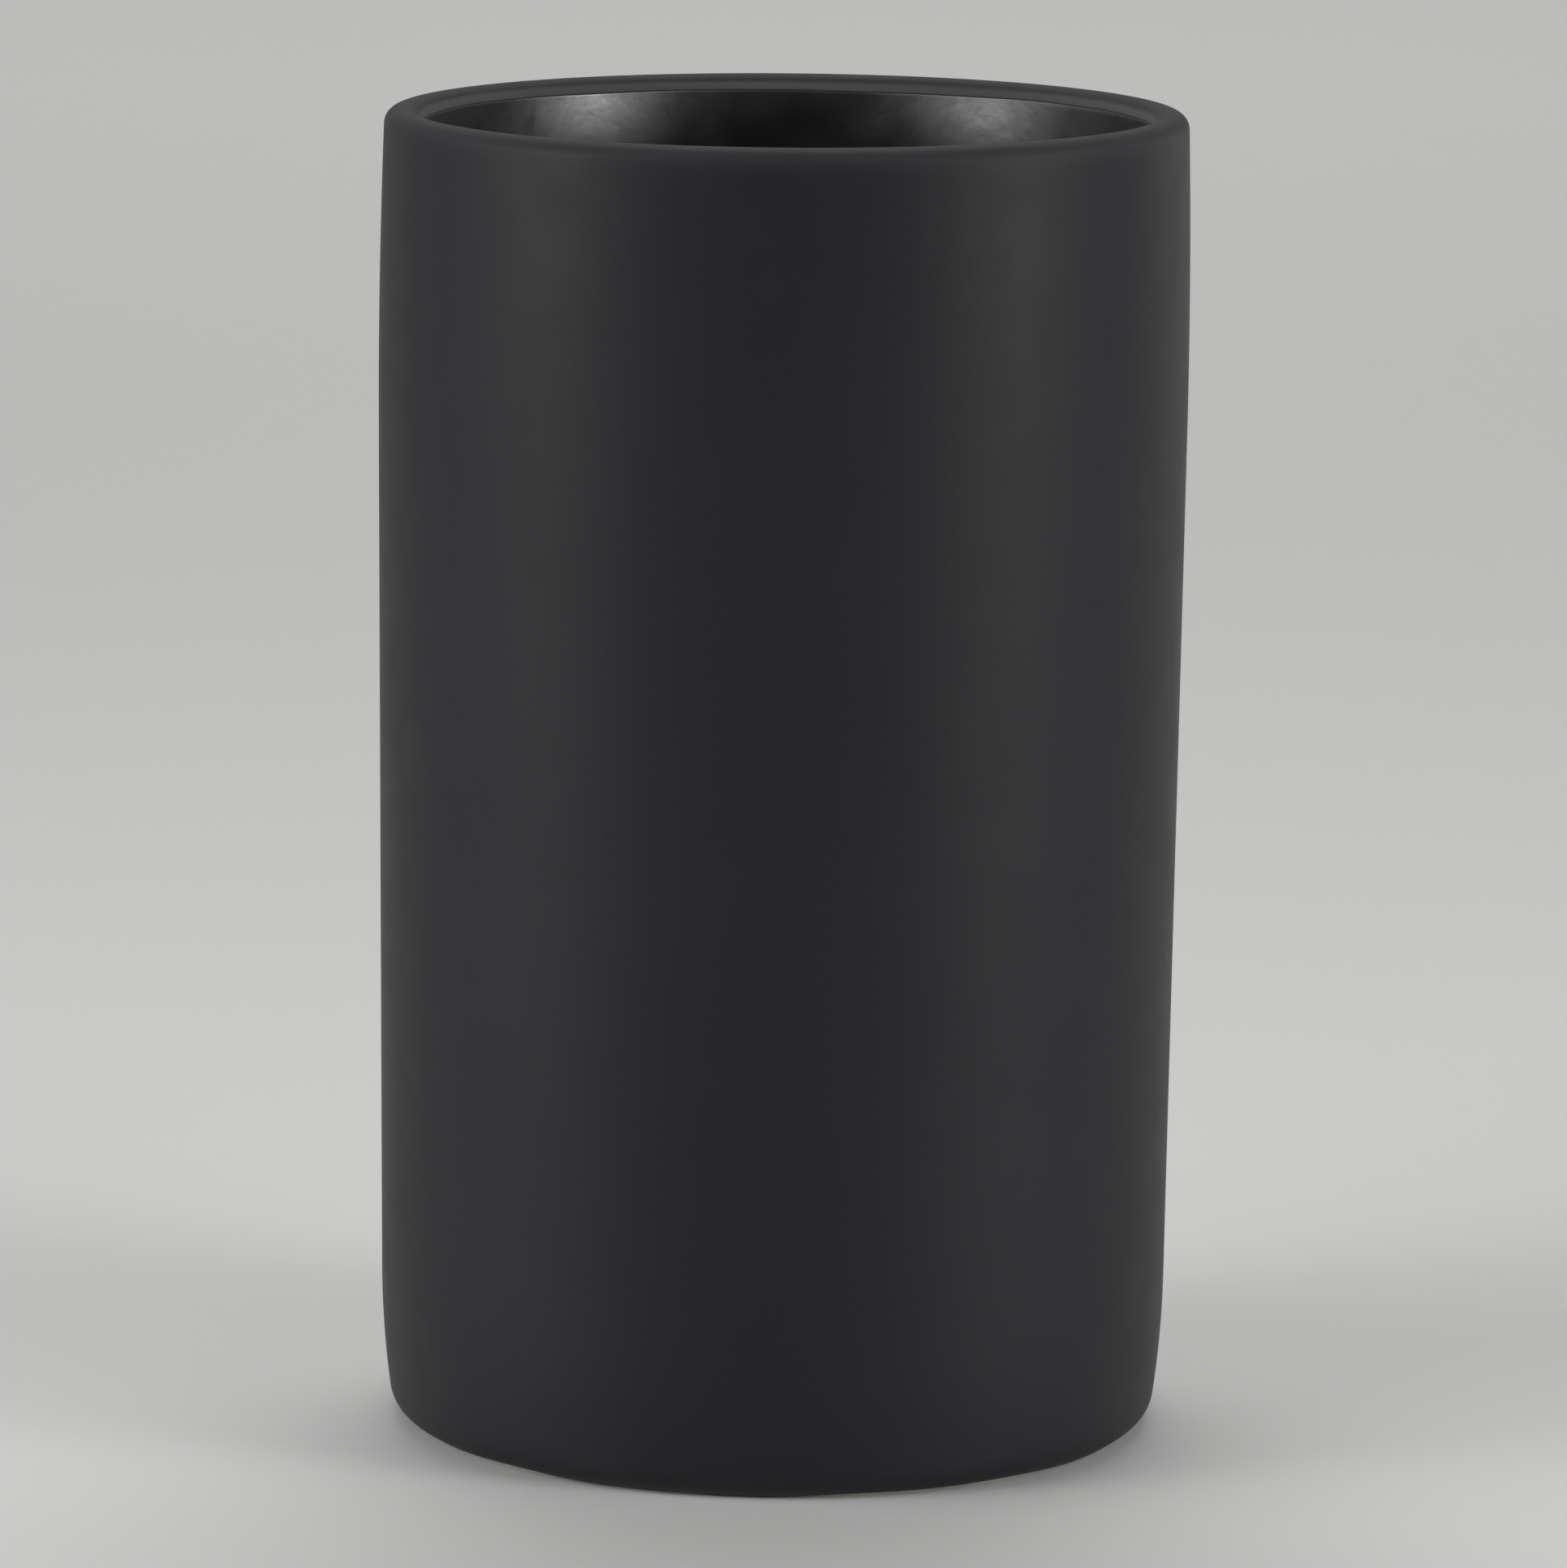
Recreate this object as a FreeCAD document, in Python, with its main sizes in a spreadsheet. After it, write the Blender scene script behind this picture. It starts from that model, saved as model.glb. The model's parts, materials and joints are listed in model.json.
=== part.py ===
"""Empty ceramic candle jar: a fired stoneware pot and the three glazes fired onto it.

The jar is a solid of revolution about Z. It stands on a bare foot ring at Z = 0, and the origin is the
centre of that ring. Four pieces lie face to face:

    stoneware_body      the clay pot, bare only on its foot ring
    outer_matte_glaze   the coat on the outside, which runs over the lip to the start of the cavity
    inner_gloss_glaze   the lining of the cavity
    base_recess_glaze   the patch of glaze inside the foot ring

Each half section is a closed chain of lines and tangent arcs, turned once round the axis. A glaze and
the clay under it share the centres of their arcs, so the glaze is equally thick all over and the two
meet with no gap and no overlap.
"""

import FreeCAD, Part
import math
import os

import Sketcher

PARTS_FOLDER = "parts"

# Lengths in millimetres, the angle in degrees.
DIMENSIONS = [
    ("total_height", 123.0, "foot to the top of the lip"),
    ("widest_radius", 37.5, "largest radius of the jar"),
    ("widest_height", 98.7, "height at which the jar is widest"),
    ("neck_radius", 700.0, "arc by which the wall closes in towards the lip"),
    ("wall_angle", 89.53, "between the floor and the straight stretch of the wall"),
    ("tuck_radius", 84.0, "arc by which the wall turns in above the base"),
    ("tuck_height", 14.6, "height of the centre of that arc"),
    ("base_round", 3.0, "rounding between that arc and the foot"),
    ("lip_round", 1.4, "rounding of the lip, outside and inside"),
    ("mouth_radius", 33.7, "cylindrical stretch of the cavity, below the lip"),
    ("cavity_floor_height", 5.0, "foot to the floor of the cavity"),
    ("cavity_floor_radius", 27.0, "flat of the cavity's floor"),
    ("cavity_round", 6.0, "rounding between the cavity's floor and its wall"),
    ("glaze_thickness", 0.4, "every glaze"),
    ("glaze_edge_height", 0.25, "foot to the lower edge of the outer glaze"),
    ("foot_outer_radius", 33.75, "outside of the foot ring"),
    ("foot_inner_radius", 28.5, "inside of the foot ring, and the edge of the recess"),
    ("foot_edge_round", 0.2, "rounding of both edges of the foot ring"),
    ("recess_depth", 1.4, "foot to the glaze in the recess"),
]
size = {alias: value for alias, value, meaning in DIMENSIONS}

# Sketcher's numbers for the ends and the centre of a piece of geometry, and for the sketch's origin.
START, END, CENTRE = 1, 2, 3
ORIGIN = (-1, 1)
Z_AXIS = -2

# Where the base rounding starts before its sketch is solved; the foot then settles it.
BASE_ROUND_START = -70.0


def fill_sheet(document):
    """Puts the driving dimensions into a spreadsheet, each cell under its alias."""
    sheet = document.addObject("Spreadsheet::Sheet", "Dimensions")
    for row, (alias, value, meaning) in enumerate(DIMENSIONS, start=1):
        sheet.set(f"A{row}", alias)
        sheet.set(f"B{row}", str(value))
        sheet.set(f"C{row}", meaning)
        sheet.setAlias(f"B{row}", alias)
    document.recompute()


def origin_plane(body, role):
    """One of the body's own origin planes, such as XZ_Plane."""
    return next(plane for plane in body.Origin.OriginFeatures if plane.Role == role)


class Section:
    """A sketch in a body, built from lines and arcs whose sizes follow the spreadsheet."""

    def __init__(self, body, name, plane):
        self.sketch = body.newObject("Sketcher::SketchObject", name)
        self.sketch.AttachmentSupport = [(origin_plane(body, plane), "")]
        self.sketch.MapMode = "FlatFace"

    def line(self, start, end):
        return self.sketch.addGeometry(Part.LineSegment(start, end))

    def arc(self, centre, radius, first_degrees, last_degrees):
        """An arc drawn counterclockwise from the first direction to the last."""
        circle = Part.Circle(centre, FreeCAD.Vector(0, 0, 1), radius)
        first = math.radians(first_degrees)
        last = math.radians(last_degrees)
        return self.sketch.addGeometry(Part.ArcOfCircle(circle, first, last))

    def hold(self, kind, *places):
        """A geometric constraint, such as Tangent between two ends."""
        self.sketch.addConstraint(Sketcher.Constraint(kind, *places))

    def measure(self, kind, places, formula):
        """A dimension that follows a formula in the sheet's aliases."""
        value = self.sketch.evalExpression(formula)
        value = float(getattr(value, "Value", value))
        if kind == "Angle":
            value = math.radians(value)
        index = self.sketch.addConstraint(Sketcher.Constraint(kind, *places, value))
        self.sketch.setExpression(f"Constraints[{index}]", formula)

    def across(self, place, formula):
        self.measure("DistanceX", ORIGIN + place, formula)

    def up(self, place, formula):
        self.measure("DistanceY", ORIGIN + place, formula)


def point(across, up):
    return FreeCAD.Vector(across, up, 0)


def direction(degrees):
    return point(math.cos(math.radians(degrees)), math.sin(math.radians(degrees)))


def bearing(start, end):
    """Direction from one point to another, in degrees."""
    return math.degrees(math.atan2(end.y - start.y, end.x - start.x))


def draw_outside(section, inset):
    """Adds the jar's outside, from beside the foot ring up and over the lip to the cavity's first edge.

    inset is the formula for how far the chain lies inside the glazed surface. Every arc keeps its centre
    whatever the inset is, and its radius shrinks by it. Returns the first and the last arc.
    """
    depth = float(section.sketch.evalExpression(inset))
    wall_normal = size["wall_angle"] - 90.0
    neck = point(size["widest_radius"] - size["neck_radius"], size["widest_height"])
    tuck_line = neck + direction(wall_normal) * (size["neck_radius"] - size["tuck_radius"])
    climb = (size["tuck_height"] - tuck_line.y) / math.sin(math.radians(size["wall_angle"]))
    tuck = tuck_line + direction(size["wall_angle"]) * climb
    base_reach = size["tuck_radius"] - size["base_round"]
    base_drop = size["tuck_height"] - size["base_round"]
    base = point(tuck.x + math.sqrt(base_reach**2 - base_drop**2), size["base_round"])
    lip_level = size["total_height"] - size["lip_round"]
    lip_reach = size["neck_radius"] - size["lip_round"]
    lip_rise = lip_level - size["widest_height"]
    lip_outside = point(neck.x + math.sqrt(lip_reach**2 - lip_rise**2), lip_level)
    lip_inside = point(size["mouth_radius"] + size["lip_round"], lip_level)

    base_radius = size["base_round"] - depth
    tuck_radius = size["tuck_radius"] - depth
    neck_radius = size["neck_radius"] - depth
    lip_radius = size["lip_round"] - depth
    lip_top = point(0, lip_radius)

    base_arc = section.arc(base, base_radius, BASE_ROUND_START, bearing(tuck, base))
    tuck_arc = section.arc(tuck, tuck_radius, bearing(tuck, base), wall_normal)
    wall_foot = tuck + direction(wall_normal) * tuck_radius
    wall_head = neck + direction(wall_normal) * neck_radius
    wall = section.line(wall_foot, wall_head)
    neck_arc = section.arc(neck, neck_radius, wall_normal, bearing(neck, lip_outside))
    outer_lip_arc = section.arc(lip_outside, lip_radius, bearing(neck, lip_outside), 90.0)
    lip_line = section.line(lip_outside + lip_top, lip_inside + lip_top)
    inner_lip_arc = section.arc(lip_inside, lip_radius, 90.0, 180.0)

    chain = [base_arc, tuck_arc, wall, neck_arc, outer_lip_arc, lip_line, inner_lip_arc]
    for lower, upper in zip(chain, chain[1:]):
        section.hold("Tangent", lower, END, upper, START)
    section.hold("Horizontal", lip_line)
    section.hold("Horizontal", inner_lip_arc, CENTRE, inner_lip_arc, END)
    section.measure("Angle", (wall,), "Dimensions.wall_angle * 1 deg")
    section.measure("Radius", (base_arc,), f"Dimensions.base_round - {inset}")
    section.measure("Radius", (tuck_arc,), f"Dimensions.tuck_radius - {inset}")
    section.measure("Radius", (neck_arc,), f"Dimensions.neck_radius - {inset}")
    section.measure("Radius", (outer_lip_arc,), f"Dimensions.lip_round - {inset}")
    section.measure("Radius", (inner_lip_arc,), f"Dimensions.lip_round - {inset}")
    section.up((base_arc, CENTRE), "Dimensions.base_round")
    section.up((tuck_arc, CENTRE), "Dimensions.tuck_height")
    section.up((neck_arc, CENTRE), "Dimensions.widest_height")
    section.across((neck_arc, CENTRE), "Dimensions.widest_radius - Dimensions.neck_radius")
    section.up((outer_lip_arc, CENTRE), "Dimensions.total_height - Dimensions.lip_round")
    section.across((inner_lip_arc, CENTRE), "Dimensions.mouth_radius + Dimensions.lip_round")
    return base_arc, inner_lip_arc


def draw_cavity(section, outset):
    """Adds the cavity, from the middle of its floor to the top of its cylindrical mouth.

    outset is the formula for how far the chain lies outside the glazed surface, in the clay. Returns the
    floor line and the mouth line.
    """
    depth = float(section.sketch.evalExpression(outset))
    corner = point(size["cavity_floor_radius"], size["cavity_floor_height"] + size["cavity_round"])
    corner_radius = size["cavity_round"] + depth
    wall_normal = size["wall_angle"] - 90.0
    floor_edge = corner - point(0, corner_radius)
    wall_foot = corner + direction(wall_normal) * corner_radius
    mouth_across = size["mouth_radius"] + depth
    run = (mouth_across - wall_foot.x) / math.cos(math.radians(size["wall_angle"]))
    wall_head = wall_foot + direction(size["wall_angle"]) * run
    mouth_top = point(mouth_across, size["total_height"] - size["lip_round"])

    floor = section.line(point(0, floor_edge.y), floor_edge)
    corner_arc = section.arc(corner, corner_radius, -90.0, wall_normal)
    wall = section.line(wall_foot, wall_head)
    mouth = section.line(wall_head, mouth_top)

    section.hold("PointOnObject", floor, START, Z_AXIS)
    section.hold("Horizontal", floor)
    section.hold("Tangent", floor, END, corner_arc, START)
    section.hold("Tangent", corner_arc, END, wall, START)
    section.hold("Coincident", wall, END, mouth, START)
    section.hold("Vertical", mouth)
    section.measure("Angle", (wall,), "Dimensions.wall_angle * 1 deg")
    section.measure("Radius", (corner_arc,), f"Dimensions.cavity_round + {outset}")
    section.across((corner_arc, CENTRE), "Dimensions.cavity_floor_radius")
    section.up((corner_arc, CENTRE), "Dimensions.cavity_floor_height + Dimensions.cavity_round")
    return floor, mouth


def draw_foot(section, base_arc):
    """Adds the foot ring and the recess under the base, from the end of the base rounding inwards.

    Returns the line of the recess, which ends on the axis.
    """
    edge = size["foot_edge_round"]
    outer = size["foot_outer_radius"]
    inner = size["foot_inner_radius"]
    ceiling = size["recess_depth"] + size["glaze_thickness"]
    outer_top = section.sketch.getPoint(base_arc, START)

    outer_side = section.line(outer_top, point(outer, edge))
    outer_edge = section.arc(point(outer - edge, edge), edge, -90.0, 0.0)
    sole = section.line(point(outer - edge, 0), point(inner + edge, 0))
    inner_edge = section.arc(point(inner + edge, edge), edge, 180.0, 270.0)
    inner_side = section.line(point(inner, edge), point(inner, ceiling))
    recess = section.line(point(inner, ceiling), point(0, ceiling))

    section.hold("Coincident", base_arc, START, outer_side, START)
    section.hold("Vertical", outer_side)
    section.hold("Tangent", outer_side, END, outer_edge, END)
    section.hold("Tangent", outer_edge, START, sole, START)
    section.hold("Tangent", sole, END, inner_edge, END)
    section.hold("Tangent", inner_edge, START, inner_side, START)
    section.hold("Horizontal", sole)
    section.hold("Vertical", inner_side)
    section.hold("Coincident", inner_side, END, recess, START)
    section.hold("Horizontal", recess)
    section.hold("PointOnObject", recess, END, Z_AXIS)
    section.hold("PointOnObject", sole, START, ORIGIN[0])
    section.measure("Radius", (outer_edge,), "Dimensions.foot_edge_round")
    section.measure("Radius", (inner_edge,), "Dimensions.foot_edge_round")
    section.across((outer_side, START), "Dimensions.foot_outer_radius")
    section.across((inner_side, START), "Dimensions.foot_inner_radius")
    section.up((recess, START), "Dimensions.recess_depth + Dimensions.glaze_thickness")
    return recess


def turn(body, section, name):
    """Revolves a section once round the axis."""
    revolution = body.newObject("PartDesign::Revolution", name)
    revolution.Profile = section.sketch
    revolution.ReferenceAxis = (section.sketch, ["V_Axis"])
    revolution.Angle = 360.0
    body.Tip = revolution


def make_stoneware_body(document):
    body = document.addObject("PartDesign::Body", "stoneware_body")
    section = Section(body, "clay_section", "XZ_Plane")
    base_arc, inner_lip_arc = draw_outside(section, "Dimensions.glaze_thickness")
    floor, mouth = draw_cavity(section, "Dimensions.glaze_thickness")
    recess = draw_foot(section, base_arc)
    axis = section.line(
        point(0, size["recess_depth"] + size["glaze_thickness"]),
        point(0, size["cavity_floor_height"] - size["glaze_thickness"]),
    )
    section.hold("Coincident", recess, END, axis, START)
    section.hold("Coincident", axis, END, floor, START)
    section.hold("Coincident", mouth, END, inner_lip_arc, END)
    turn(body, section, "clay_turned")
    return body


def make_outer_matte_glaze(document):
    body = document.addObject("PartDesign::Body", "outer_matte_glaze")
    section = Section(body, "coat_section", "XZ_Plane")
    surface_base, surface_lip = draw_outside(section, "0")
    clay_base, clay_lip = draw_outside(section, "Dimensions.glaze_thickness")
    section.up((surface_base, START), "Dimensions.glaze_edge_height")
    section.across((clay_base, START), "Dimensions.foot_outer_radius")

    foot_across = size["foot_outer_radius"]
    lower_edge = section.line(
        section.sketch.getPoint(surface_base, START),
        point(foot_across, size["glaze_edge_height"]),
    )
    foot_side = section.line(
        point(foot_across, size["glaze_edge_height"]),
        section.sketch.getPoint(clay_base, START),
    )
    lip_edge = section.line(
        section.sketch.getPoint(surface_lip, END),
        section.sketch.getPoint(clay_lip, END),
    )
    section.hold("Coincident", surface_base, START, lower_edge, START)
    section.hold("Coincident", lower_edge, END, foot_side, START)
    section.hold("Coincident", foot_side, END, clay_base, START)
    section.hold("Horizontal", lower_edge)
    section.hold("Vertical", foot_side)
    section.hold("Coincident", surface_lip, END, lip_edge, START)
    section.hold("Coincident", lip_edge, END, clay_lip, END)
    turn(body, section, "coat_turned")
    return body


def make_inner_gloss_glaze(document):
    body = document.addObject("PartDesign::Body", "inner_gloss_glaze")
    section = Section(body, "lining_section", "XZ_Plane")
    surface_floor, surface_mouth = draw_cavity(section, "0")
    clay_floor, clay_mouth = draw_cavity(section, "Dimensions.glaze_thickness")
    section.across((surface_mouth, END), "Dimensions.mouth_radius")
    section.up((surface_mouth, END), "Dimensions.total_height - Dimensions.lip_round")
    section.across((clay_mouth, END), "Dimensions.mouth_radius + Dimensions.glaze_thickness")

    axis = section.line(
        section.sketch.getPoint(surface_floor, START),
        section.sketch.getPoint(clay_floor, START),
    )
    lip_edge = section.line(
        section.sketch.getPoint(surface_mouth, END),
        section.sketch.getPoint(clay_mouth, END),
    )
    section.hold("Coincident", surface_floor, START, axis, START)
    section.hold("Coincident", axis, END, clay_floor, START)
    section.hold("Coincident", surface_mouth, END, lip_edge, START)
    section.hold("Coincident", lip_edge, END, clay_mouth, END)
    section.hold("Horizontal", lip_edge)
    turn(body, section, "lining_turned")
    return body


def make_base_recess_glaze(document):
    """A disc that fills the recess from wall to wall, placed at its depth under the base."""
    body = document.addObject("PartDesign::Body", "base_recess_glaze")
    section = Section(body, "patch_outline", "XY_Plane")
    circle = Part.Circle(point(0, 0), FreeCAD.Vector(0, 0, 1), size["foot_inner_radius"])
    edge = section.sketch.addGeometry(circle)
    section.hold("Coincident", edge, CENTRE, *ORIGIN)
    section.measure("Radius", (edge,), "Dimensions.foot_inner_radius")
    patch = body.newObject("PartDesign::Pad", "patch_padded")
    patch.Profile = section.sketch
    patch.setExpression("Length", "Dimensions.glaze_thickness")
    body.Tip = patch
    body.Placement = FreeCAD.Placement(point(0, 0), FreeCAD.Rotation())
    body.setExpression("Placement.Base.z", "Dimensions.recess_depth")
    return body


def check(document, bodies):
    """Stops the script if anything failed to build."""
    for item in document.Objects:
        if "Invalid" in item.State or "Error" in item.State:
            raise RuntimeError(f"{item.Name} failed: {item.State}")
        if item.TypeId == "Sketcher::SketchObject" and not item.FullyConstrained:
            raise RuntimeError(f"{item.Name} isn't fully constrained")
    for body in bodies:
        if body.Shape.isNull() or not body.Shape.isValid() or len(body.Shape.Solids) != 1:
            raise RuntimeError(f"{body.Label} isn't one valid solid")


def main():
    os.makedirs(PARTS_FOLDER, exist_ok=True)
    document = FreeCAD.newDocument("candle_jar")
    fill_sheet(document)
    bodies = [
        make_stoneware_body(document),
        make_outer_matte_glaze(document),
        make_inner_gloss_glaze(document),
        make_base_recess_glaze(document),
    ]
    document.recompute()
    check(document, bodies)
    for body in bodies:
        body.Shape.exportStep(f"{PARTS_FOLDER}/{body.Label}.step")
        print(f"{body.Label}: {body.Shape.Volume / 1000:.2f} cubic centimetres")


main()
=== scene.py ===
"""The looks of an empty ceramic candle jar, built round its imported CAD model.

Four turned meshes stand for the four CAD nodes: the clay pot, its matt charcoal coat, its glossier
black lining and the patch of glaze under its base. They follow the CAD outline and add what a fired
pot has: a slightly uneven wall, a lip that isn't quite level, glaze edges that wander and roll in,
glaze that creeps a little way down the foot ring, and a rubbed sole.

Lengths are in metres. Angles are in degrees, except in the rules that reshape a mesh, where they
are in radians. Colours are linear red, green, blue and alpha.
"""

import json
import math

import bpy
import numpy as np
from mathutils import Matrix, Vector


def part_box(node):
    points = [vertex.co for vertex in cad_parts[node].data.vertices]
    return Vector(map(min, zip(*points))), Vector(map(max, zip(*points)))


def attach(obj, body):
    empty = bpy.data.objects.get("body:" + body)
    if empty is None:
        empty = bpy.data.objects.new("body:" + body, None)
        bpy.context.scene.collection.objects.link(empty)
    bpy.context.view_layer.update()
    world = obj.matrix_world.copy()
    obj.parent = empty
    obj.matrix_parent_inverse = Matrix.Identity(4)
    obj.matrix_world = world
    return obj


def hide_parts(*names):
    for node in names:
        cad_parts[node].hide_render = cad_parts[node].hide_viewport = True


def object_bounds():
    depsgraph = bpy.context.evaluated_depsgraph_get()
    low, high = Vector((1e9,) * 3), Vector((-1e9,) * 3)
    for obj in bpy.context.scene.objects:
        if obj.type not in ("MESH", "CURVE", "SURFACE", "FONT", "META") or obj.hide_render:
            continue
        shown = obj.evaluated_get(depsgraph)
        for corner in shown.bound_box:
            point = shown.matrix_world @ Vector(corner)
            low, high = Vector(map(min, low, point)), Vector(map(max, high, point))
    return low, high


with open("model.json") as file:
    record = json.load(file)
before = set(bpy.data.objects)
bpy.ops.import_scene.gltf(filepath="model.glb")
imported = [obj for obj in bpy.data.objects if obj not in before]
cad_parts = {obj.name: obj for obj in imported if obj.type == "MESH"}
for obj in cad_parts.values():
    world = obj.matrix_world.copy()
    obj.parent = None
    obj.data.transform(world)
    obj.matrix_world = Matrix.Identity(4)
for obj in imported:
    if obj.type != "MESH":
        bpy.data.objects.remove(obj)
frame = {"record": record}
cad_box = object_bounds()

# ---------------------------------------------------------------- sizes

MM = 0.001

mouth = next(mount for mount in frame["record"]["mounts"] if mount["name"] == "mouth")
patch_low, patch_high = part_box("base_recess_glaze")
lining_low, lining_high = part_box("inner_gloss_glaze")

# What the frame gives.
TOTAL_HEIGHT = cad_box[1].z
WIDEST_RADIUS = cad_box[1].x
MOUTH_RADIUS = mouth["dims"]["r_mm"] * MM
LIP_LEVEL = lining_high.z  # where the lip's rounding starts
LIP_ROUND = TOTAL_HEIGHT - LIP_LEVEL
GLAZE = patch_high.z - patch_low.z  # thickness of every glaze
RECESS_DEPTH = patch_low.z
FOOT_INNER_RADIUS = patch_high.x
CAVITY_FLOOR_HEIGHT = lining_low.z + GLAZE

# The CAD model's other dimensions.
WIDEST_HEIGHT = 98.7 * MM
NECK_RADIUS = 700 * MM  # of the arc by which the wall necks in towards the lip
WALL_ANGLE = 89.53  # of the wall's straight stretch, inside and outside
TUCK_RADIUS = 84 * MM  # of the arc by which the wall tucks in towards the base
TUCK_HEIGHT = 14.6 * MM  # of that arc's centre
BASE_ROUND = 3 * MM
CAVITY_FLOOR_RADIUS = 27 * MM  # of the flat part of the floor
CAVITY_ROUND = 6 * MM
FOOT_OUTER_RADIUS = 33.75 * MM
FOOT_EDGE_ROUND = 0.2 * MM
GLAZE_EDGE_HEIGHT = 0.25 * MM  # where the coat stops, above the ground

# How finely the meshes are made: columns round the jar, and steps along an outline.
AROUND = 448
SHOWN_WALL_STEP = 1.3 * MM
SHOWN_LIP_STEP = 0.22 * MM  # round the lip and the base
SHOWN_CORNER_STEP = 0.4 * MM
GLAZE_BACK_STEP = 6 * MM
CLAY_WALL_STEP = 3 * MM
HIDDEN_LIP_STEP = 0.5 * MM
HIDDEN_CORNER_STEP = 1.0 * MM
FOOT_WALL_STEP = 0.4 * MM
FOOT_EDGE_STEP = 0.05 * MM
SOLE_STEP = 0.5 * MM
PATCH_STEP = 1.5 * MM
PATCH_BACK_STEP = 4 * MM
PATCH_TURN_STEP = 15  # degrees

# ---------------------------------------------------------------- outlines

SAME_PLACE = 1e-7  # points nearer to each other than this are one point
ON_AXIS = 1e-9  # and a point nearer to the axis than this is on it


def point(across, up):
    return np.array([across, up], float)


def direction(degrees):
    return point(math.cos(math.radians(degrees)), math.sin(math.radians(degrees)))


def bearing(start, end):
    across, up = end - start
    return math.degrees(math.atan2(up, across))


def arc(centre, radius, first, last, step):
    """Points along an arc, from the first direction to the last."""
    length = radius * math.radians(abs(last - first))
    count = max(2, math.ceil(length / step))
    turns = [first + (last - first) * i / count for i in range(count + 1)]
    return [centre + radius * direction(turn) for turn in turns]


def run(start, end, step):
    """Points along a straight line."""
    count = max(1, math.ceil(float(np.linalg.norm(end - start)) / step))
    return [start + (end - start) * i / count for i in range(count + 1)]


def joined(*stretches):
    """One list of points, without the repeats where two stretches meet."""
    points = []
    for stretch in stretches:
        for place in stretch:
            if not points or np.linalg.norm(place - points[-1]) > SAME_PLACE:
                points.append(place)
    return points


def outside(inset, wall_step, round_step):
    """The jar's outside from the foot up and over the lip, inset from the glazed surface.

    Neck, tuck, base and the two lip points are the centres of its arcs. Each stretch runs smoothly
    into the next.
    """
    normal = WALL_ANGLE - 90.0
    neck = point(WIDEST_RADIUS - NECK_RADIUS, WIDEST_HEIGHT)
    tuck_line = neck + direction(normal) * (NECK_RADIUS - TUCK_RADIUS)
    climb = (TUCK_HEIGHT - tuck_line[1]) / math.sin(math.radians(WALL_ANGLE))
    tuck = tuck_line + direction(WALL_ANGLE) * climb
    base_reach = TUCK_RADIUS - BASE_ROUND
    base_drop = TUCK_HEIGHT - BASE_ROUND
    base = point(tuck[0] + math.sqrt(base_reach**2 - base_drop**2), BASE_ROUND)
    lip_reach = NECK_RADIUS - LIP_ROUND
    lip_rise = LIP_LEVEL - WIDEST_HEIGHT
    lip_outside = point(neck[0] + math.sqrt(lip_reach**2 - lip_rise**2), LIP_LEVEL)
    lip_inside = point(MOUTH_RADIUS + LIP_ROUND, LIP_LEVEL)

    base_radius = BASE_ROUND - inset
    if inset:
        first = -math.degrees(math.acos((FOOT_OUTER_RADIUS - base[0]) / base_radius))
    else:
        first = -math.degrees(math.asin((BASE_ROUND - GLAZE_EDGE_HEIGHT) / base_radius))
    base_turn = bearing(tuck, base)
    lip_turn = bearing(neck, lip_outside)
    top = point(0, LIP_ROUND - inset)
    return joined(
        arc(base, base_radius, first, base_turn, round_step),
        arc(tuck, TUCK_RADIUS - inset, base_turn, normal, wall_step),
        run(
            tuck + direction(normal) * (TUCK_RADIUS - inset),
            neck + direction(normal) * (NECK_RADIUS - inset),
            wall_step,
        ),
        arc(neck, NECK_RADIUS - inset, normal, lip_turn, wall_step),
        arc(lip_outside, LIP_ROUND - inset, lip_turn, 90.0, round_step),
        run(lip_outside + top, lip_inside + top, round_step),
        arc(lip_inside, LIP_ROUND - inset, 90.0, 180.0, round_step),
    )


def cavity(outset, wall_step, round_step):
    """The cavity from the middle of its floor up to the lip, outset into the clay.

    The wall leans out from the floor's rounded corner, then rises straight up to the mouth.
    """
    normal = WALL_ANGLE - 90.0
    corner = point(CAVITY_FLOOR_RADIUS, CAVITY_FLOOR_HEIGHT + CAVITY_ROUND)
    corner_radius = CAVITY_ROUND + outset
    wall_foot = corner + direction(normal) * corner_radius
    across = MOUTH_RADIUS + outset
    climb = (across - wall_foot[0]) / math.cos(math.radians(WALL_ANGLE))
    wall_head = wall_foot + direction(WALL_ANGLE) * climb
    floor_level = CAVITY_FLOOR_HEIGHT - outset
    return joined(
        run(point(0, floor_level), point(CAVITY_FLOOR_RADIUS, floor_level), wall_step),
        arc(corner, corner_radius, -90.0, normal, round_step),
        run(wall_foot, wall_head, wall_step),
        run(wall_head, point(across, LIP_LEVEL), wall_step),
    )


# ---------------------------------------------------------------- turning


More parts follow.
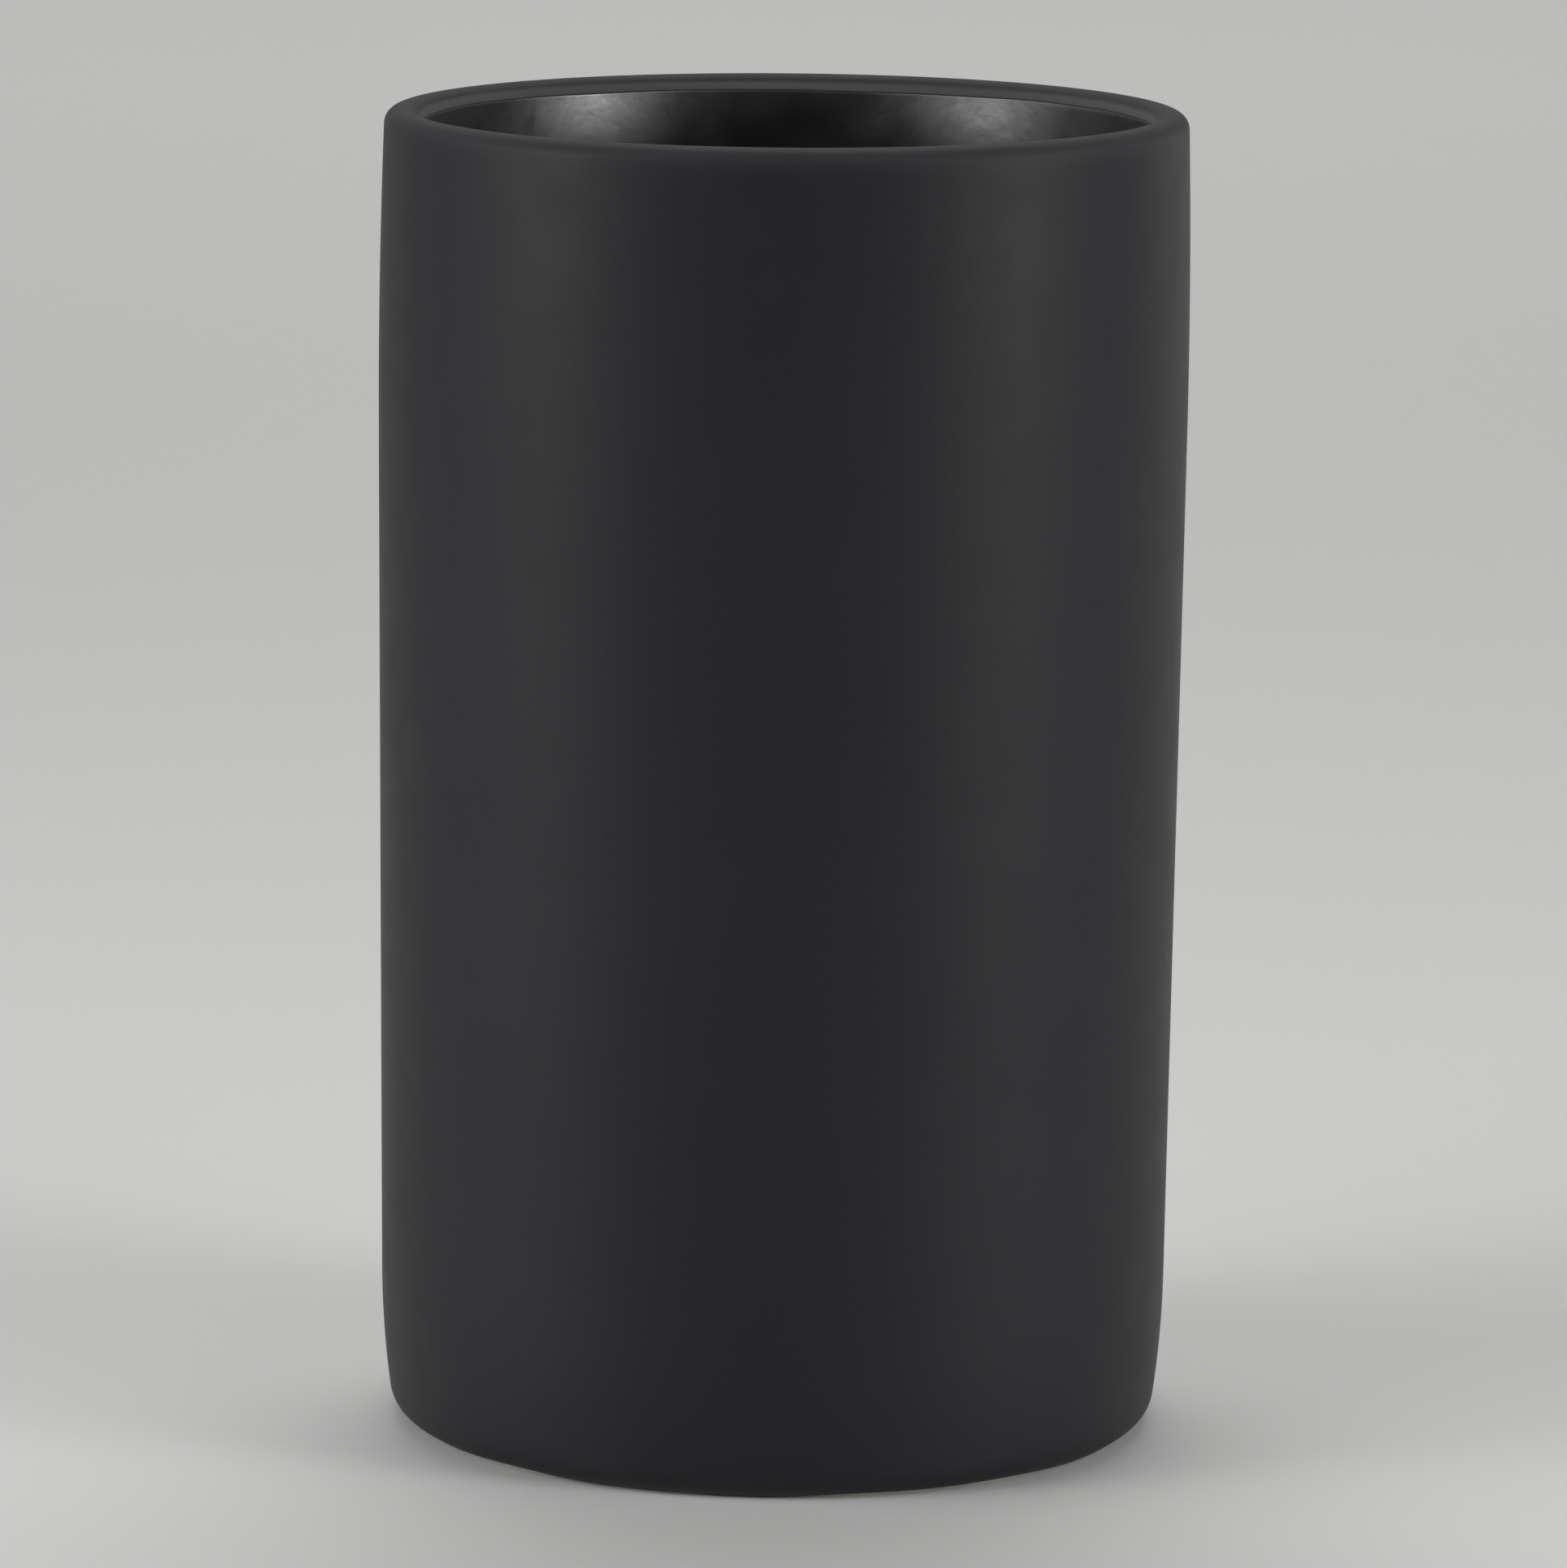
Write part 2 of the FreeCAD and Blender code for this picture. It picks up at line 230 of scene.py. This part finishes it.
def turned(name, section, around=AROUND):
    """A closed mesh made by turning a closed half section once round Z.

    section is a list of (across, up) points, counterclockwise in the half plane. A point on the
    axis becomes one vertex.
    """
    angles = [math.tau * i / around for i in range(around)]
    vertices = []
    rings = []
    for across, up in section:
        start = len(vertices)
        if across < ON_AXIS:
            vertices.append((0.0, 0.0, up))
            rings.append([start] * around)
        else:
            vertices += [(across * math.cos(a), across * math.sin(a), up) for a in angles]
            rings.append([start + i for i in range(around)])
    faces = []
    for lower, upper in zip(rings, rings[1:] + rings[:1]):
        for i in range(around):
            j = (i + 1) % around
            corners = [lower[i], lower[j], upper[j], upper[i]]
            corners = [c for k, c in enumerate(corners) if c not in corners[:k]]
            if len(corners) > 2:
                faces.append(corners)
    mesh = bpy.data.meshes.new(name)
    mesh.from_pydata(vertices, [], faces)
    mesh.validate()
    mesh.shade_smooth()
    piece = bpy.data.objects.new(name, mesh)
    bpy.context.scene.collection.objects.link(piece)
    return piece


def places_of(piece):
    """A mesh's points as rows of x, y, z."""
    vertices = piece.data.vertices
    places = np.zeros(len(vertices) * 3)
    vertices.foreach_get("co", places)
    return places.reshape(-1, 3)


def reshape(piece, *rules):
    """Moves a piece's points by rules. Each takes and gives (across, angle, up) as arrays."""
    places = places_of(piece)
    across = np.hypot(places[:, 0], places[:, 1])
    angle = np.arctan2(places[:, 1], places[:, 0])
    up = places[:, 2]
    for rule in rules:
        across, angle, up = rule(across, angle, up)
    places = np.stack([across * np.cos(angle), across * np.sin(angle), up], axis=1)
    piece.data.vertices.foreach_set("co", places.ravel())
    piece.data.update()


def rub(piece, rule):
    """Stores how worn or thinly glazed each point is, and on the coat's lip how much light is
    painted on, from 0 to 1, for the materials to read.
    """
    places = places_of(piece)
    wear_and_painted_light = rule(np.hypot(places[:, 0], places[:, 1]), places[:, 2])
    attribute = piece.data.attributes.new("wear_and_painted_light", "FLOAT", "POINT")
    attribute.data.foreach_set("value", wear_and_painted_light.astype(np.float32))


def smooth(low, high, value):
    """0 below low, 1 above high, with a soft turn at both."""
    share = np.clip((value - low) / (high - low), 0, 1)
    return share * share * (3 - 2 * share)


def waves(angle, *parts):
    """Sine waves round the jar, added up: each is (height, how many round the jar, phase)."""
    return sum(height * np.sin(count * angle + phase) for height, count, phase in parts)


# ---------------------------------------------------------------- how the fired pot strays

OVAL = 0.02 * MM
THREE_SIDED = 0.015 * MM
UNEVEN_INSET = 0.035 * MM  # both together, so that the wall stays inside the CAD outline
OVAL_SHIFT = 9.0  # radians of the oval's phase per metre up, so that it turns with height
THREE_SIDED_SHIFT = 2.3  # the three-sided wave's phase against the oval's, the other way
THREE_SIDED_PHASE = 1.0
UNEVEN_FULL = 12 * MM  # height at which the wall is fully uneven, from nothing at the foot

LIP_DROP = 0.13 * MM  # on average: nothing at +X, and twice this at -X
LIP_DROP_FROM = 0.8 * TOTAL_HEIGHT  # height from which the wall starts to drop with the lip

LIP_WAVES = (0.05, 3, 0.7), (0.03, 7, 2.1), (0.015, 17, 0.0)  # heights in millimetres
LIP_WAVES_FULL = 0.3 * MM  # distance from the line within which all the glaze moves with it
LIP_WAVES_GONE = 1.2 * MM  # and beyond which none does

FOOT_WAVES = (0.06, 5, 1.3), (0.04, 13, 0.2)  # heights in millimetres
FOOT_WAVES_FULL = 0.3 * MM  # height up to which all the glaze moves with the line
FOOT_WAVES_GONE = 1.0 * MM  # and above which none does


def uneven(across, angle, up):
    """The pot's own unevenness: slightly oval, and not by the same amount at every height."""
    shift = OVAL_SHIFT * up
    oval = OVAL * np.cos(2 * angle + shift)
    three_sided = THREE_SIDED * np.cos(3 * angle - THREE_SIDED_SHIFT * shift + THREE_SIDED_PHASE)
    share = np.clip(across / MOUTH_RADIUS, 0, 1) * smooth(0, UNEVEN_FULL, up)
    return across - (oval + three_sided + UNEVEN_INSET) * share, angle, up


def sloping_lip(across, angle, up):
    """The lip isn't quite level: it sits a little lower on the side toward -X."""
    drop = LIP_DROP * (1 - np.cos(angle))
    return across, angle, up - drop * smooth(LIP_DROP_FROM, TOTAL_HEIGHT, up)


def wavy_lip_line(across, angle, up):
    """The line inside the lip where the coat meets the lining wanders up and down."""
    inside = 1 - smooth(MOUTH_RADIUS + GLAZE, MOUTH_RADIUS + LIP_ROUND, across)
    near = 1 - smooth(LIP_WAVES_FULL, LIP_WAVES_GONE, np.abs(up - LIP_LEVEL))
    return across, angle, up + waves(angle, *LIP_WAVES) * MM * inside * near


def wavy_foot_line(across, angle, up):
    """The coat's lower edge wanders a little too."""
    near = 1 - smooth(FOOT_WAVES_FULL, FOOT_WAVES_GONE, up)
    return across, angle, up + waves(angle, *FOOT_WAVES) * MM * near


# ---------------------------------------------------------------- where glaze is thin, clay worn, and light painted on the lip

EDGE_ROLL = 0.1 * MM  # how far each wall glaze rolls in where it ends
PATCH_REACH = 0.8 * MM  # how far from the foot ring the glaze under the base starts to bend down
PATCH_CREEP = 0.35 * MM  # and how far down the ring it creeps

LIP_THIN_AND_PAINTED_LIGHT_SHARE = 0.25  # how thin the coat is on top of the lip, against 1 on the lip's inner side; there the paler colour is also painted light
LIP_THIN_FROM = 2.0 * MM  # depth under the top where it starts to thin
LIP_THIN_FULL = 0.5 * MM  # and where it is as thin as it gets
INSIDE_THIN_FROM = 0.3  # the same across the lip's inner side, as shares of the lip's rounding
INSIDE_THIN_FULL = 0.05
INSIDE_THIN_DEPTH = 1.0 * MM
FOOT_SHARE = 0.4  # how thin the coat and the glaze under the base are along the foot ring
FOOT_THIN_FROM = 0.7 * MM  # above the coat's lower edge
FOOT_THIN_FULL = 0.1 * MM
LINING_THIN_ROLLS = 4.5  # depth of the lining's thin edge, in rolls
SOLE_RUB = 0.15 * MM  # height up to which the foot ring is rubbed


def thin_coat_and_painted_lip_light(across, up):
    """The coat runs thin over the lip, most of all on its inner side, and along its lower edge.
    Over the lip the paler colour is also painted light, which brightens the lip's top and inner
    side.
    """
    over_lip = LIP_THIN_AND_PAINTED_LIGHT_SHARE * smooth(TOTAL_HEIGHT - LIP_THIN_FROM, TOTAL_HEIGHT - LIP_THIN_FULL, up)
    inside = 1 - smooth(
        MOUTH_RADIUS + INSIDE_THIN_FULL * LIP_ROUND,
        MOUTH_RADIUS + INSIDE_THIN_FROM * LIP_ROUND,
        across,
    )
    inside = inside * smooth(LIP_LEVEL - INSIDE_THIN_DEPTH, LIP_LEVEL, up)
    foot_line = FOOT_SHARE * (
        1 - smooth(GLAZE_EDGE_HEIGHT + FOOT_THIN_FULL, GLAZE_EDGE_HEIGHT + FOOT_THIN_FROM, up)
    )
    return np.maximum(np.maximum(over_lip, inside), foot_line)


def thin_lining(across, up):
    """The lining is thin only along its upper edge."""
    return smooth(LIP_LEVEL - LINING_THIN_ROLLS * EDGE_ROLL, LIP_LEVEL - EDGE_ROLL, up)


def thin_patch(across, up):
    """The glaze under the base is thin where it ends against the foot ring."""
    return FOOT_SHARE * smooth(FOOT_INNER_RADIUS - PATCH_REACH, FOOT_INNER_RADIUS, across)


def rubbed_sole(across, up):
    """The clay is rubbed where it stands."""
    return 1 - smooth(0, SOLE_RUB, up)


# ---------------------------------------------------------------- pieces


def make_coat():
    surface = outside(0, SHOWN_WALL_STEP, SHOWN_LIP_STEP)
    back = outside(GLAZE, GLAZE_BACK_STEP, HIDDEN_LIP_STEP)
    roll_centre = surface[-1] + point(EDGE_ROLL, EDGE_ROLL)
    lip_roll = arc(roll_centre, EDGE_ROLL, 180.0, 270.0, EDGE_ROLL / 2)
    foot_edge = point(FOOT_OUTER_RADIUS, GLAZE_EDGE_HEIGHT)
    coat = turned("charcoal_coat", joined([foot_edge], surface[:-1], lip_roll, back[::-1]))
    reshape(coat, wavy_lip_line, wavy_foot_line, uneven, sloping_lip)
    # The coat's mask holds thin glaze and also the light painted on its lip.
    rub(coat, thin_coat_and_painted_lip_light)
    return coat


def make_lining():
    """The lining. Narrow faces under its rolled edge keep the roll's shading off the wall below."""
    surface = cavity(0, SHOWN_WALL_STEP, SHOWN_CORNER_STEP)
    back = cavity(GLAZE, GLAZE_BACK_STEP, HIDDEN_CORNER_STEP)
    roll_centre = point(MOUTH_RADIUS + EDGE_ROLL, LIP_LEVEL - EDGE_ROLL)
    lip_roll = arc(roll_centre, EDGE_ROLL, 90.0, 180.0, EDGE_ROLL / 2)
    below_roll = run(
        point(MOUTH_RADIUS, LIP_LEVEL - 2 * EDGE_ROLL),
        point(MOUTH_RADIUS, LIP_LEVEL - 5 * EDGE_ROLL),
        EDGE_ROLL,
    )
    lining = turned("black_lining", joined(lip_roll, below_roll, surface[:-1][::-1], back))
    reshape(lining, wavy_lip_line, uneven, sloping_lip)
    rub(lining, thin_lining)
    return lining


def make_clay():
    ceiling = RECESS_DEPTH + GLAZE
    inner, outer, edge = FOOT_INNER_RADIUS, FOOT_OUTER_RADIUS, FOOT_EDGE_ROUND
    foot = joined(
        run(point(0, ceiling), point(inner, ceiling), CLAY_WALL_STEP),
        run(point(inner, ceiling), point(inner, edge), FOOT_WALL_STEP),
        arc(point(inner + edge, edge), edge, 180.0, 270.0, FOOT_EDGE_STEP),
        run(point(inner + edge, 0), point(outer - edge, 0), SOLE_STEP),
        arc(point(outer - edge, edge), edge, -90.0, 0.0, FOOT_EDGE_STEP),
    )
    wall = outside(GLAZE, CLAY_WALL_STEP, HIDDEN_LIP_STEP)
    hollow = cavity(GLAZE, CLAY_WALL_STEP, HIDDEN_CORNER_STEP)
    clay = turned("clay_body", joined(wall, hollow[::-1], foot))
    reshape(clay, uneven, sloping_lip)
    rub(clay, rubbed_sole)
    return clay


def make_patch():
    """The glaze under the base, drawn a little way down the foot ring's inner side."""
    flat_radius = FOOT_INNER_RADIUS - PATCH_REACH
    middle = run(point(0, RECESS_DEPTH), point(flat_radius, RECESS_DEPTH), PATCH_STEP)
    edge = [
        point(
            FOOT_INNER_RADIUS - PATCH_REACH * math.cos(math.radians(turn)),
            RECESS_DEPTH - PATCH_CREEP * (1 - math.sin(math.radians(90 - turn))),
        )
        for turn in range(0, 91, PATCH_TURN_STEP)
    ]
    back_level = RECESS_DEPTH + GLAZE
    back = run(point(FOOT_INNER_RADIUS, back_level), point(0, back_level), PATCH_BACK_STEP)
    patch = turned("base_patch", joined(middle, edge, back))
    rub(patch, thin_patch)
    return patch


# ---------------------------------------------------------------- materials

MIX_SHARE, MIX_FIRST, MIX_SECOND, MIX_RESULT = 0, 6, 7, 2  # a Mix node's sockets for colours


class Finish:
    """A material under construction: each call adds a node and links or sets its inputs."""

    def __init__(self, name):
        self.material = bpy.data.materials.new(name)
        self.material.use_nodes = True
        self.tree = self.material.node_tree
        self.shader = self.tree.nodes["Principled BSDF"]
        self.place = self.tree.nodes.new("ShaderNodeTexCoord").outputs["Object"]

    def put(self, node, inputs):
        """Links or sets a node's inputs, which are given by name or number."""
        for name, value in inputs.items():
            if isinstance(value, bpy.types.NodeSocket):
                self.tree.links.new(value, node.inputs[name])
            else:
                node.inputs[name].default_value = value

    def add(self, kind, inputs, **settings):
        node = self.tree.nodes.new(kind)
        for name, value in settings.items():
            setattr(node, name, value)
        self.put(node, inputs)
        return node

    def shade(self, **inputs):
        """Sets the shader's inputs, with _ for a space in a name, and gives the material."""
        self.put(self.shader, {name.replace("_", " "): value for name, value in inputs.items()})
        return self.material

    def noise(self, size, detail=3.0, roughness=0.5):
        """Noise from 0 to 1 whose patches are about size across."""
        inputs = {"Vector": self.place, "Scale": 1 / size, "Detail": detail, "Roughness": roughness}
        return self.add("ShaderNodeTexNoise", inputs).outputs["Fac"]

    def spots(self, spacing, radius):
        """1 in the middle of scattered round spots, falling to 0 at their radius."""
        cells = self.add("ShaderNodeTexVoronoi", {"Vector": self.place, "Scale": 1 / spacing})
        return self.remap(cells.outputs["Distance"], (0, radius / spacing), (1, 0))

    def attribute(self, name):
        return self.add("ShaderNodeAttribute", {}, attribute_name=name).outputs["Fac"]

    def remap(self, value, old, new):
        """A value stretched softly from an old range to a new one, and held at its ends."""
        inputs = {
            "Value": value,
            "From Min": old[0],
            "From Max": old[1],
            "To Min": new[0],
            "To Max": new[1],
        }
        kind = "ShaderNodeMapRange"
        return self.add(kind, inputs, interpolation_type="SMOOTHSTEP").outputs["Result"]

    def math(self, operation, first, second):
        inputs = {0: first, 1: second}
        return self.add("ShaderNodeMath", inputs, operation=operation).outputs["Value"]

    def blend(self, share, first, second):
        """The first colour where share is 0, and the second where it is 1."""
        inputs = {MIX_SHARE: share, MIX_FIRST: first, MIX_SECOND: second}
        return self.add("ShaderNodeMix", inputs, data_type="RGBA").outputs[MIX_RESULT]

    def bump(self, height, distance, normal=None):
        """A normal that makes height look distance deep, on top of another normal if given."""
        inputs = {"Height": height, "Distance": distance, "Strength": 1.0}
        if normal is not None:
            inputs["Normal"] = normal
        return self.add("ShaderNodeBump", inputs).outputs["Normal"]


MOST_NOISE = (0.25, 0.75)  # the range that coarse noise mostly keeps to
MOST_GRAIN = (0.3, 0.7)  # and fine grain


def matte_charcoal():
    """A dry-looking, very dark grey glaze, paler where thin and paler still on the lip as painted
    light, with grain and a few pinholes darkened as painted shade.
    """
    dark, light = (0.0160, 0.0152, 0.0182, 1), (0.0190, 0.0181, 0.0214, 1)
    # The thin colour is for thin glaze, and on the lip's top and inner side it is also painted
    # light.
    grain_colour, thin_glaze_and_painted_light_colour = (0.024, 0.023, 0.026, 1), (0.095, 0.092, 0.097, 1)
    # Pinholes are darkened with this colour as painted shade in the pits.
    pinhole_shade_colour = (0.008, 0.008, 0.008, 1)
    finish = Finish("matte_charcoal_glaze")
    mottle = finish.noise(14 * MM, detail=4)
    grain = finish.noise(0.35 * MM, detail=2)
    pinhole = finish.spots(spacing=3.1 * MM, radius=0.12 * MM)
    wear_and_painted_light = finish.attribute("wear_and_painted_light")
    base = finish.blend(mottle, dark, light)
    grained = finish.blend(finish.remap(grain, MOST_GRAIN, (0, 0.25)), base, grain_colour)
    # Paler where the glaze is thin, and on the lip's top and inner side paler as painted light.
    thinned_and_painted_light = finish.blend(wear_and_painted_light, grained, thin_glaze_and_painted_light_colour)
    # Painted shade: the pinholes are darkened as if shaded inside.
    pinhole_shaded = finish.blend(finish.math("MULTIPLY", pinhole, 0.6), thinned_and_painted_light, pinhole_shade_colour)
    dullness = finish.remap(finish.noise(5 * MM, detail=3), MOST_NOISE, (0.49, 0.54))
    dullness = finish.math("ADD", dullness, finish.math("MULTIPLY", wear_and_painted_light, 0.4))
    relief = finish.bump(finish.noise(6 * MM, detail=2), 0.006 * MM)
    relief = finish.bump(grain, 0.006 * MM, relief)
    relief = finish.bump(finish.math("MULTIPLY", pinhole, -1.0), 0.02 * MM, relief)
    return finish.shade(
        Base_Color=pinhole_shaded, Roughness=dullness, Normal=relief, Specular_IOR_Level=0.18
    )


def gloss_black():
    """A darker, shinier glaze with orange peel, slightly wavy where it ran before it set."""
    dark, light = (0.0080, 0.0078, 0.0083, 1), (0.0115, 0.0112, 0.0119, 1)
    thin_glaze_and_painted_light_colour = (0.020, 0.0195, 0.0205, 1)
    finish = Finish("gloss_black_glaze")
    mottle = finish.noise(9 * MM, detail=4)
    base = finish.blend(mottle, dark, light)
    wear_and_painted_light = finish.attribute("wear_and_painted_light")
    thinned_and_painted_light = finish.blend(wear_and_painted_light, base, thin_glaze_and_painted_light_colour)
    dullness = finish.remap(finish.noise(4 * MM, detail=4), MOST_NOISE, (0.32, 0.42))
    dullness = finish.math("ADD", dullness, finish.math("MULTIPLY", wear_and_painted_light, 0.15))
    relief = finish.bump(finish.noise(7 * MM, detail=3), 0.07 * MM)
    relief = finish.bump(finish.noise(2 * MM, detail=3), 0.022 * MM, relief)
    relief = finish.bump(finish.noise(0.8 * MM, detail=2), 0.010 * MM, relief)
    return finish.shade(
        Base_Color=thinned_and_painted_light, Roughness=dullness, Normal=relief, IOR=1.54, Specular_IOR_Level=1.0
    )


def bare_stoneware():
    """Unglazed fired clay: sandy grain, a few iron specks, and a greyed sole."""
    dark, light = (0.40, 0.36, 0.31, 1), (0.50, 0.46, 0.40, 1)
    grain_colour, rubbed_colour = (0.30, 0.27, 0.23, 1), (0.24, 0.22, 0.20, 1)
    iron_colour = (0.09, 0.06, 0.04, 1)
    finish = Finish("bare_stoneware")
    mottle = finish.noise(4 * MM, detail=4)
    grain = finish.noise(0.25 * MM, detail=3, roughness=0.7)
    iron = finish.spots(spacing=1.7 * MM, radius=0.14 * MM)
    wear_and_painted_light = finish.attribute("wear_and_painted_light")
    base = finish.blend(mottle, dark, light)
    grained = finish.blend(finish.remap(grain, MOST_GRAIN, (0, 0.3)), base, grain_colour)
    rubbed = finish.blend(finish.math("MULTIPLY", wear_and_painted_light, 0.35), grained, rubbed_colour)
    specked = finish.blend(finish.math("MULTIPLY", iron, 0.7), rubbed, iron_colour)
    dullness = finish.remap(mottle, MOST_NOISE, (0.78, 0.92))
    relief = finish.bump(grain, 0.03 * MM)
    return finish.shade(Base_Color=specked, Roughness=dullness, Normal=relief)


def pale_floor():
    dark, light = (0.78, 0.78, 0.77, 1), (0.80, 0.80, 0.79, 1)
    finish = Finish("pale_floor")
    tone = finish.blend(finish.noise(0.5, detail=2), dark, light)
    return finish.shade(Base_Color=tone, Roughness=0.6)


def dress(piece, material, node):
    """Gives a finished piece its material and its body, and hides the CAD node that it stands for.
    """
    piece.data.materials.append(material)
    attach(piece, "root")
    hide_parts(node)


charcoal = matte_charcoal()
dress(make_clay(), bare_stoneware(), "stoneware_body")
dress(make_coat(), charcoal, "outer_matte_glaze")
dress(make_lining(), gloss_black(), "inner_gloss_glaze")
dress(make_patch(), charcoal, "base_recess_glaze")

# ---------------------------------------------------------------- stage

COVE_FLAT = 2.0  # radius of the flat floor
COVE_ROUND = 1.0
COVE_HEIGHT = 2.6
COVE_THICKNESS = 0.02
COVE_STEP = 0.5
COVE_ROUND_STEP = 0.1
COVE_AROUND = 96


def make_cove():
    """A round pale floor that curves up into a wall on every side."""
    corner = point(COVE_FLAT, COVE_ROUND)
    wall = COVE_FLAT + COVE_ROUND
    back = wall + COVE_THICKNESS
    inside = joined(
        run(point(0, 0), point(COVE_FLAT, 0), COVE_STEP),
        arc(corner, COVE_ROUND, -90.0, 0.0, COVE_ROUND_STEP),
        run(point(wall, COVE_ROUND), point(wall, COVE_HEIGHT), COVE_STEP),
    )
    behind = joined(
        run(point(back, COVE_HEIGHT), point(back, COVE_ROUND), COVE_STEP),
        arc(corner, COVE_ROUND + COVE_THICKNESS, 0.0, -90.0, COVE_ROUND_STEP),
        run(point(COVE_FLAT, -COVE_THICKNESS), point(0, -COVE_THICKNESS), COVE_STEP),
    )
    cove = turned("pale_cove", joined(inside, behind)[::-1], around=COVE_AROUND)
    cove.data.materials.append(pale_floor())


# ---------------------------------------------------------------- lights and camera


def toward(azimuth, elevation):
    """Unit vector to a place round the jar: azimuth 0 is the camera's side, and 90 is its right."""
    a, e = math.radians(azimuth), math.radians(elevation)
    return Vector((math.sin(a) * math.cos(e), -math.cos(a) * math.cos(e), math.sin(e)))


def look_along(thing, line, roll=0.0):
    """Turns a light or camera to look along a line, its top up but for the roll."""
    turn = line.to_track_quat("-Z", "Y").to_matrix()
    thing.rotation_euler = (turn @ Matrix.Rotation(math.radians(roll), 3, "Z")).to_euler()


SOFTBOX_DISTANCE = 0.9
SOFTBOX_BEAM = 80.0
SOFTBOXES = [
    # name, azimuth, elevation, width, height, watts
    ("key_left", -67, 9, 0.26, 0.08, 3.0),
    ("key_right", 66, 9, 0.28, 0.08, 4.0),
    ("upper_left", -62, 32, 0.75, 0.50, 3.2),
    ("upper_right", 62, 32, 0.75, 0.50, 2.3),
    ("side_left", -85, 15, 0.40, 0.30, 1.15),
    ("rim_right", 135, 5, 0.40, 0.12, 0.35),
]
BARE_BEAM = 180.0
OVERHEAD_PLACE = Vector((0, 1.3, 1.8))
OVERHEAD_WIDTH = 1.8
OVERHEAD_DEPTH = 1.6
OVERHEAD_POWER = 23.5
WORLD_STRENGTH = 0.02

CAMERA_DISTANCE = 0.825
CAMERA_PITCH = 9.90
CAMERA_ROLL = 0.71
CAMERA_AIM = Vector((0.44 * MM, 0, 59.8 * MM))
CAMERA_LENS = 203.0  # millimetres, as is the sensor's width
CAMERA_SENSOR = 36.0
CAMERA_CLIP_START = 0.05


def soft_panel(name, place, line, width, height, power, beam=BARE_BEAM):
    """A soft rectangular light at a place, shining along a line.

    A narrower beam is a grid in front of the panel, which keeps its light off the floor beside it.
    The power is then what a bare panel would need for the same light straight ahead.
    """
    light = bpy.data.lights.new(name, "AREA")
    light.shape = "RECTANGLE"
    light.size = width
    light.size_y = height
    half_beam = math.radians(beam / 2)
    light.spread = 2 * half_beam
    gridded = beam < BARE_BEAM
    light.energy = power * (1 - half_beam / math.tan(half_beam)) if gridded else power
    holder = bpy.data.objects.new(name, light)
    holder.location = place
    look_along(holder, line)
    holder.visible_camera = False
    bpy.context.scene.collection.objects.link(holder)


def make_lights():
    """Softboxes in a ring that face the jar, and a panel overhead that evens out the floor."""
    middle = Vector((0, 0, TOTAL_HEIGHT / 2))
    for name, azimuth, elevation, width, height, power in SOFTBOXES:
        line = toward(azimuth, elevation)
        place = middle + line * SOFTBOX_DISTANCE
        soft_panel(name, place, -line, width, height, power, SOFTBOX_BEAM)
    down = Vector((0, 0, -1))
    soft_panel("overhead", OVERHEAD_PLACE, down, OVERHEAD_WIDTH, OVERHEAD_DEPTH, OVERHEAD_POWER)


def make_world():
    """A faint white light from all round."""
    world = bpy.data.worlds.new("studio")
    world.use_nodes = True
    background = world.node_tree.nodes["Background"]
    background.inputs["Color"].default_value = (1, 1, 1, 1)
    background.inputs["Strength"].default_value = WORLD_STRENGTH
    bpy.context.scene.world = world


def make_camera():
    """The photograph's view: a long lens a little above the jar, and a slight roll."""
    camera = bpy.data.cameras.new("camera")
    camera.sensor_width = CAMERA_SENSOR
    camera.lens = CAMERA_LENS
    camera.clip_start = CAMERA_CLIP_START
    holder = bpy.data.objects.new("camera", camera)
    line = toward(0, CAMERA_PITCH)
    holder.location = CAMERA_AIM + line * CAMERA_DISTANCE
    look_along(holder, -line, CAMERA_ROLL)
    bpy.context.scene.collection.objects.link(holder)
    bpy.context.scene.camera = holder


make_cove()
make_lights()
make_world()
make_camera()
bpy.context.scene.view_settings.view_transform = "Standard"
